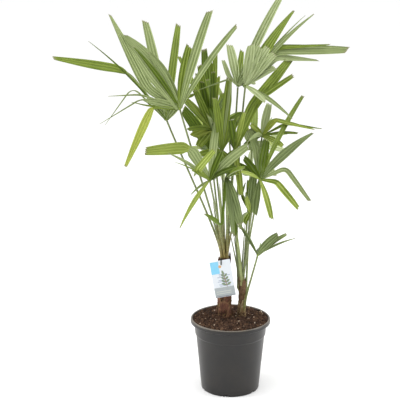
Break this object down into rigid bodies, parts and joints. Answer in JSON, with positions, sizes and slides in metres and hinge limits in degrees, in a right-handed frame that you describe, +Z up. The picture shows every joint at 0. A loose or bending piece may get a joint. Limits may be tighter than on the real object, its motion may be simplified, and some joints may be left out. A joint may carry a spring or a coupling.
{
  "type": "potted windmill palm",
  "caption": "Young windmill palm with loose, drooping fan fronds on thin stalks, growing from short fibrous stems in a plain round nursery pot.",
  "frame": {"origin": "centre of the pot's flat underside", "axes": "+Z up along the pot's axis; the front of the plant, with the hanging card, looks along -Y; +X is to the right as seen from the front"},
  "size_m": [0.6968, 0.5781, 0.9214],
  "materials": {
    "pot_plastic": "satin charcoal recycled polypropylene",
    "peat": "matt reddish-brown crumbs",
    "bark": "coarse brown fibre with straw-coloured sheath edges",
    "stalk": "smooth grey-olive rind",
    "leaf": "waxy ribbed green blade, paler beneath",
    "card": "printed satin card with a plain sky, hill and stripe design",
    "strap": "dark moulded plastic"
  },
  "bodies": {
    "root": {"pot": "pot_plastic", "soil": "peat", "trunk_main": "bark", "stem_side": "bark", "stalk_upper_left": "stalk", "stalk_far_left": "stalk", "stalk_mid_back": "stalk", "stalk_centre_up": "stalk", "stalk_centre_right": "stalk", "stalk_top_back": "stalk", "stalk_top_right": "stalk", "stalk_front_left": "stalk", "stalk_front_droop": "stalk", "stalk_right_front": "stalk", "stalk_right_young": "stalk", "stalk_right_back": "stalk", "stalk_low_right": "stalk", "stalk_rear_left": "stalk", "stalk_rear_right": "stalk", "stalk_rear_top": "stalk", "blade_upper_left": "leaf", "blade_far_left": "leaf", "blade_mid_back": "leaf", "blade_centre_up": "leaf", "blade_centre_right": "leaf", "blade_top_back": "leaf", "blade_top_right": "leaf", "blade_front_left": "leaf", "blade_front_droop": "leaf", "blade_right_front": "leaf", "blade_right_young": "leaf", "blade_right_back": "leaf", "blade_low_right": "leaf", "blade_rear_left": "leaf", "blade_rear_right": "leaf", "blade_rear_top": "leaf", "label_card": "card", "label_strap": "strap"}
  },
  "joints": []
}
